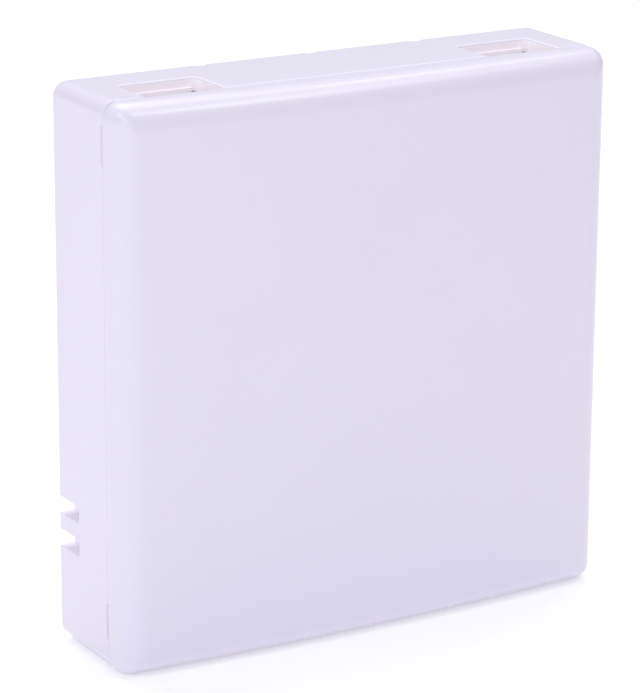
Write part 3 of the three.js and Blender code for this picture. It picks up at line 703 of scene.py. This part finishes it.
def splice_sleeves():
    for name, side in SIDES.items():
        x, y = side * SPLICE_X, ADAPTER_Y
        low, high = SPOOL_LOW_Z, SPOOL_HIGH_Z + 5
        length = high - low
        profile = [(0, 0), (1.0, 0), (1.28, 0.7), (1.3, 1.5)]
        profile += [(1.3, length - 1.5), (1.28, length - 0.7), (1.0, length), (0, length)]
        tube = lathe("z", profile, (x, y, low))
        place(tube, f"shrink_tube_{name}", "sleeve", "base", f"splice_sleeve_{name}")
        pin = bevelled(rod("z", 0.45, low + 1.5, high - 1.5, (x, y + 0.55)), 0.1)
        place(pin, f"splice_rod_{name}", "steel", "base")
        core = rod("z", 0.42, low + 0.3, high - 0.3, (x, y - 0.4))
        place(core, f"splice_core_{name}", "fibre", "base")


# ---------- Screws and cable clamps ----------


def screw(name, x, y, z, length):
    """A cross-recessed pan-head screw that points along +Y, its head's underside at y."""
    angles = [math.pi / 12 * i for i in range(6)]
    dome = [(2.3 * math.cos(t), y - 0.35 - 1.05 * math.sin(t)) for t in angles]
    tip = [(0, y - 1.4), (0, y + length), (0.35, y + length), (0.95, y + length - 0.9), (0.95, y), (2.15, y)]
    head = lathe("y", tip + [(2.3, y - 0.12)] + dome, (x, 0, z), 48)
    floor = y - 0.6
    slots = [
        bevelled(block(x - 1.3, x + 1.3, y - 3, floor, z - 0.3, z + 0.3), 0.08),
        bevelled(block(x - 0.3, x + 0.3, y - 3, floor, z - 1.3, z + 1.3), 0.08),
    ]
    place(cut(head, *slots), f"{name}_steel", "steel", name, name)


def cable_clamp(name, side):
    x = side * CLAMP_X
    outline = rounded_rectangle(2.6, 11.35, 2, x, 22.15)
    bar = plate(outline, 5.45, 7.25)
    holes = [rod("y", 1.3, 4, 9, (x, z)) for z in CLAMP_SCREW_Z.values()]
    ridge_z = (17.4, 19.4, 21.4, 23.5, 25.5, 27.5)
    ridges = [block(x - 3, x + 3, 7, 8, z - 0.25, z + 0.25) for z in ridge_z]
    clamp = cut(bevelled(cut(bar, *holes), 0.25), *ridges)
    place(clamp, f"clamp_bar_{name}", "tray", "base", f"cable_clamp_{name}")
    for level, z in CLAMP_SCREW_Z.items():
        screw(f"clamp_screw_{name}_{level}", x, 5.4, z, 4.9)


# ---------- Adapters and plugs ----------
# Each is made around the adapter's own middle: its upper half faces the window.

HINGE = (3.4, 12.6)
SLEEVE_BORE = 1.95
FERRULE_END = 14


def moved(thing, side, turned=False):
    """A piece made around the adapter's own middle, moved to its port."""
    if turned:
        thing.data.transform(Matrix.Rotation(math.pi, 4, "Y"))
    thing.data.transform(Matrix.Translation((side * PORT_X, ADAPTER_Y, ADAPTER_Z)))
    return thing


def adapter_half(pinned):
    """One moulded half, with holes for the shutter's hinge where it is pinned."""
    width, depth, end = ADAPTER_HALF_WIDTH, ADAPTER_HALF_DEPTH, ADAPTER_END
    body = block(-width, width, -depth, depth, 0.15, end)
    flange = block(-7.8, 7.8, -depth, depth, 0.15, 1)
    cavity = block(-4.7, 4.7, -3.8, 3.8, 1.2, end + 1)
    keyway = block(-1.6, 1.6, -depth - 1, 0, 8.6, end + 1)
    grooves = [block(s * 6.1, s * 7, -3.2, 3.2, 5.6, 12.6) for s in (-1, 1)]
    half = bevelled(cut(join(body, flange), cavity, keyway, *grooves), 0.18)
    half = cut(half, rod("z", SLEEVE_BORE, -1, 2, (0, 0)))
    return cut(half, rod("x", 0.5, -5.3, 5.3, HINGE, 16)) if pinned else half


def latch_insert():
    """The insert inside a half: its arms grip a plug."""
    parts = [rod("z", 2.3, 2.2, 5.4, (0, 0))]
    for s in (-1, 1):
        parts.append(block(s * 3.55, s * 4.25, -1.6, 1.6, 2.2, 8.6))
        parts.append(block(s * 3.15, s * 3.75, -1.6, 1.6, 7.6, 8.6))
    body = join(block(-4.5, 4.5, -3.6, 3.6, 1.4, 2.4), *parts)
    return bevelled(cut(body, rod("z", SLEEVE_BORE, 0, 8, (0, 0))), 0.1)


def alignment_sleeve():
    ring = cut(rod("z", 1.7, -5.6, 5.6, (0, 0)), rod("z", 1.4, -6, 6, (0, 0)))
    return cut(ring, block(-0.2, 0.2, 0, 3, -6, 6))


def shutter():
    wide = block(-4.4, 4.4, -0.5, 3.4, 12.4, 12.8)
    leaf = bevelled(join(wide, block(-2.8, 2.8, -3.5, 0, 12.4, 12.8)), 0.1)
    ribs = [block(-2.3, 2.3, y - 0.2, y + 0.2, 12.6, 12.88) for y in (-2.4, -0.8, 0.8)]
    return join(leaf, rod("x", 0.3, -5.1, 5.1, HINGE, 16), *ribs)


def adapter_clip():
    outside = block(-6.9, 6.9, -5.1, 2, -12, -6)
    inside = block(-6.55, 6.55, -4.75, 3, -13, -5)
    window_cut = block(-2.2, 2.2, -6, -4, -10.4, -7.6)
    return bevelled(cut(outside, inside, window_cut), 0.08)


def plug_body():
    body = join(block(-3.3, 3.3, -2.9, 2.9, -24, -3), rod("z", 1.4, -29, -23, (0, 0)))
    bores = [rod("z", 2.5, -7, 0, (0, 0)), rod("z", 1.45, -14.3, 0, (0, 0))]
    recesses = [block(s * 2.9, s * 3.6, -1.8, 1.8, -9, -7.3) for s in (-1, 1)]
    return bevelled(cut(body, *bores, *recesses), 0.12)


def plug_grip():
    shell = join(block(-4.5, 4.5, -3.7, 3.7, -26.5, -8.9), block(-1.1, 1.1, -4.4, -3.5, -21, -9.5))
    shell = bevelled(shell, 0.3)
    ridges = []
    for s in (-1, 1):
        for i in range(4):
            z = -25.4 + i * 2.2
            ridges.append(bevelled(block(s * 4.3, s * 5, -3.2, 3.2, z, z + 1.1), 0.2))
    hollow = block(-3.55, 3.55, -3.15, 3.15, -25.3, 0)
    return cut(join(shell, *ridges), hollow, rod("z", 3.1, -28, -24, (0, 0)))


def plug_boot():
    profile = [(0.6, 29.3), (1.7, 29.3), (1.7, 24.3), (2.65, 24.3), (2.8, 24.5), (2.8, 29.2), (2.6, 29.6)]
    for i in range(3):
        groove, radius = 31.5 + i * 3.2, 2.3 - i * 0.35
        profile += [(radius, groove - 1), (radius - 0.1, groove - 0.3), (radius - 0.4, groove)]
        profile += [(radius - 0.4, groove + 0.8), (radius - 0.1, groove + 0.9), (radius, groove + 1.1)]
    profile += [(1.15, 42.6), (1.0, 43), (0.6, 43)]
    return lathe("z", [(r, -z) for r, z in profile], (0, 0, 0))


def ferrule():
    profile = [(0, -FERRULE_END), (1.25, -FERRULE_END), (1.25, -0.75), (1.1, -0.35), (0.85, -0.2), (0, -0.2)]
    return lathe("z", profile, (0, 0, 0), 48)


def port(name, side):
    """One adapter and the plug in its inner side."""
    pieces = [
        (adapter_half(True), "adapter_mouth", "adapter", "base", "adapter_outer_half", False),
        (adapter_half(False), "adapter_rear", "adapter", "base", "adapter_inner_half", True),
        (latch_insert(), "outer_latch", "insert", "base", "adapter_outer_latch", False),
        (latch_insert(), "inner_latch", "insert", "base", "adapter_inner_latch", True),
        (alignment_sleeve(), "split_sleeve", "ceramic", "base", "alignment_sleeve", False),
        (adapter_clip(), "spring_clip", "steel", "base", "adapter_clip", False),
        (shutter(), "shutter_leaf", "insert", f"shutter_{name}", "adapter_shutter", False),
        (ferrule(), "ferrule", "ceramic", "base", "plug_ferrule", False),
        (plug_body(), "plug_core", "insert", "base", "plug_body", False),
        (plug_grip(), "plug_shell", "adapter", f"grip_{name}", "plug_grip", False),
        (plug_boot(), "strain_relief", "boot", "base", "plug_boot", False),
    ]
    for thing, label, slot_name, body, node, turned in pieces:
        place(moved(thing, side, turned), f"{label}_{name}", slot_name, body, f"{node}_{name}")


# ---------- Pigtails ----------


def turn(x, z, radius, y, start, end, count):
    """Points of a turn about a spool."""
    return [(a, y, b) for a, b in arc(x, z, radius, start, end, count)]


def smooth_line(points, steps):
    """A centripetal Catmull-Rom line through the points."""
    points = [Vector(p) for p in points]
    points = [points[0] * 2 - points[1], *points, points[-1] * 2 - points[-2]]
    line = []
    for p0, p1, p2, p3 in zip(points, points[1:], points[2:], points[3:]):
        a, b, c = (math.sqrt((q - p).length) for p, q in ((p0, p1), (p1, p2), (p2, p3)))
        start = ((p1 - p0) / a - (p2 - p0) / (a + b) + (p2 - p1) / b) * b
        end = ((p2 - p1) / b - (p3 - p1) / (b + c) + (p3 - p2) / c) * b
        for i in range(steps):
            t = i / steps
            here = p1 + start * t + (p2 * 3 - p1 * 3 - start * 2 - end) * t ** 2
            line.append(here + (p1 * 2 - p2 * 2 + start + end) * t ** 3)
    return [*line, points[-2]]


def pigtail_route(name, side):
    y = {"left": 0.3, "right": 1.5}[name]
    low, high = SPOOL_LOW_Z, SPOOL_HIGH_Z
    entry = [(-PORT_X, ADAPTER_Z - 43.3, ADAPTER_Y), (-PORT_X, 36.5, ADAPTER_Y), (-33.2, 30, y)]
    entry += [(-30.2, 21.5, y), (-23.5, 13.2, y), (-13, 8.3, y)]
    route = [(x, height, z) for x, z, height in entry]
    route += turn(0, low, 20, y, -90, 0, 3) + turn(0, high, 19.3, y, 0, 180, 6)
    route += turn(0, low, 18.4, y, 180, 360, 6) + turn(0, high, 17.6, y, 0, 180, 6)
    route = [(-side * x, height, z) for x, height, z in route]
    if name == "left":
        route += turn(0, low, 16.8, y, 180, 360, 6) + [(13.6, y, 46)]
        route += turn(3.5, high + 5.3, 6.5, y, 0, 150, 5) + [(-SPLICE_X, ADAPTER_Y, high + 5.3)]
    else:
        route += [(17, y, 44)] + turn(9.5, low - 0.3, 6.5, y, 0, -150, 5)
        route += [(SPLICE_X, ADAPTER_Y, low - 0.3)]
    return route


def pigtail(name, side):
    line = smooth_line(pigtail_route(name, side), 8)
    data = bpy.data.curves.new("fibre", "CURVE")
    data.dimensions = "3D"
    data.bevel_depth = 0.45
    data.bevel_resolution = 5
    data.use_fill_caps = True
    spline = data.splines.new("POLY")
    spline.points.add(len(line) - 1)
    for point, here in zip(spline.points, line):
        point.co = (*here, 1)
    curve = bpy.data.objects.new("fibre", data)
    bpy.context.scene.collection.objects.link(curve)
    place(baked(curve), f"fibre_{name}", "fibre", "base", f"pigtail_{name}", smooth=60)


front_cover()
base_shell()
splice_tray()
splice_sleeves()
for screw_level, screw_z in TRAY_SCREW_Z.items():
    screw(f"tray_screw_{screw_level}", 0, TRAY_FRONT_Y - 0.05, screw_z, 6.5)
for side_name, side_sign in SIDES.items():
    port(side_name, side_sign)
    cable_clamp(side_name, side_sign)
    pigtail(side_name, side_sign)

# ---------- Camera, light and floor ----------

TARGET = Vector((0, FRONT_Y + CROWN, 50.7)) * MM
AZIMUTH = math.radians(-31.24)
ELEVATION = math.radians(16.73)
ROLL = math.radians(0.4)
DISTANCE = 0.5696
SIDEWAYS = -0.00937
UPWARDS = 0.00234
FOCAL_LENGTH = 168.8
WORLD_STRENGTH = 0.49
FLOOR_GLOW = 0.24
# Each light's place in metres, its size in metres and its power in watts.
LIGHTS = {
    "key": ((-0.57, -0.57, 0.46), 0.5, 1.37),
    "left": ((-0.62, -0.13, 0.69), 0.13, 0.78),
    "overhead": ((0.45, -0.12, 0.82), 0.25, 0.42),
    "edge": ((0.46, 0.24, 0.77), 0.2, 0.38),
    "front": ((0.34, -0.31, 0.82), 0.16, 0.6),
    "top": ((0.06, 0.35, 0.88), 0.6, 3.4),
}


def camera():
    """The camera, turned to the azimuth and elevation and then moved sideways and up."""
    back = Vector(
        (
            math.sin(AZIMUTH) * math.cos(ELEVATION),
            -math.cos(AZIMUTH) * math.cos(ELEVATION),
            math.sin(ELEVATION),
        )
    )
    level = (-back).cross(Vector((0, 0, 1))).normalized()
    upright = level.cross(-back)
    right = level * math.cos(ROLL) + upright * math.sin(ROLL)
    up = upright * math.cos(ROLL) - level * math.sin(ROLL)
    data = bpy.data.cameras.new("camera")
    data.lens = FOCAL_LENGTH
    data.clip_start = 0.01
    eye = bpy.data.objects.new("camera", data)
    bpy.context.scene.collection.objects.link(eye)
    turn = Matrix((right, up, back)).transposed().to_4x4()
    where = TARGET + back * DISTANCE + right * SIDEWAYS + up * UPWARDS
    eye.matrix_world = Matrix.Translation(where) @ turn
    bpy.context.scene.camera = eye


def softbox(name, where, size, power):
    """A square area light aimed at the middle of the box."""
    data = bpy.data.lights.new(name, "AREA")
    data.shape = "SQUARE"
    data.size = size
    data.energy = power
    light = bpy.data.objects.new(name, data)
    light.location = where
    aim = Vector((0, 0, MID_Z * MM)) - Vector(where)
    light.rotation_euler = aim.to_track_quat("-Z", "Y").to_euler()
    bpy.context.scene.collection.objects.link(light)


def studio():
    world = bpy.data.worlds.new("studio")
    bpy.context.scene.world = world
    world.use_nodes = True
    background = world.node_tree.nodes["Background"]
    background.inputs["Color"].default_value = (1, 1, 1, 1)
    background.inputs["Strength"].default_value = WORLD_STRENGTH
    for name, (where, size, power) in LIGHTS.items():
        softbox(name, where, size, power)
    bpy.context.scene.view_settings.view_transform = "Standard"


def floor():
    builder = bmesh.new()
    bmesh.ops.create_grid(builder, x_segments=1, y_segments=1, size=3)
    ground = solid(builder)
    ground.name = "floor"
    material, _, surface = shader("white_paper", (0.9, 0.9, 0.9), 0.9)
    surface.inputs["Emission Color"].default_value = (1, 1, 1, 1)
    surface.inputs["Emission Strength"].default_value = FLOOR_GLOW
    ground.data.materials.append(material)


camera()
studio()
floor()
